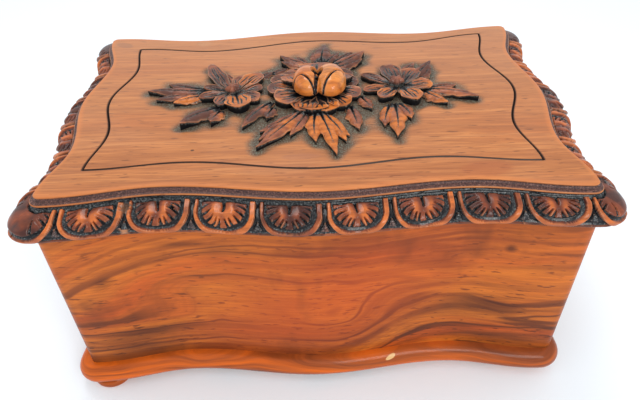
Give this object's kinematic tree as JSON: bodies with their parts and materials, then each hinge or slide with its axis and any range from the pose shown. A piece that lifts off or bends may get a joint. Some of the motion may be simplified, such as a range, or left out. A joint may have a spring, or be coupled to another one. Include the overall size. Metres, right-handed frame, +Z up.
{
  "type": "jewelry box",
  "caption": "Carved walnut jewelry box with serpentine sides, a rose spray on the hinged lid, a carved shell border, lined inside and standing on low turned feet.",
  "frame": {"origin": "on the table, below the middle of the box", "axes": "+Z up, the front faces -Y, +X to the right seen from the front"},
  "size_m": [0.2769, 0.1902, 0.1435],
  "materials": {
    "lid_walnut": "satin varnish, fine straight grain",
    "wall_walnut": "gloss varnish, dark flowing figure",
    "base_walnut": "gloss varnish, reddish",
    "carved_walnut": "satin varnish, blackened in the hollows",
    "velvet": "short pile velvet",
    "brass": "aged",
    "brass_screw": "aged",
    "steel_screw": "dull"
  },
  "bodies": {
    "box": {"base_board": "base_walnut", "front_left_foot": "base_walnut", "front_right_foot": "base_walnut", "back_left_foot": "base_walnut", "back_right_foot": "base_walnut", "front_panel": "wall_walnut", "right_panel": "wall_walnut", "back_panel": "wall_walnut", "left_panel": "wall_walnut", "floor_lining": "velvet", "front_lining": "velvet", "back_lining": "velvet", "left_lining": "velvet", "right_lining": "velvet", "left_hinge_box_leaf": "brass", "left_hinge_pin": "brass", "right_hinge_box_leaf": "brass", "right_hinge_pin": "brass", "box_hinge_screws": "brass_screw", "base_screws": "steel_screw"},
    "lid": {"lid_panel": "lid_walnut", "front_border": "carved_walnut", "right_border": "carved_walnut", "back_border": "carved_walnut", "left_border": "carved_walnut", "rose_carving": "carved_walnut", "lid_lining": "velvet", "left_hinge_lid_leaf": "brass", "right_hinge_lid_leaf": "brass", "lid_hinge_screws": "brass_screw"}
  },
  "joints": [
    {"name": "lid_hinge", "type": "hinge", "parent": "box", "child": "lid", "pos_m": [0, 0.0795, 0.1146], "axis": [-1, 0, 0], "range_deg": [0, 105]}
  ]
}
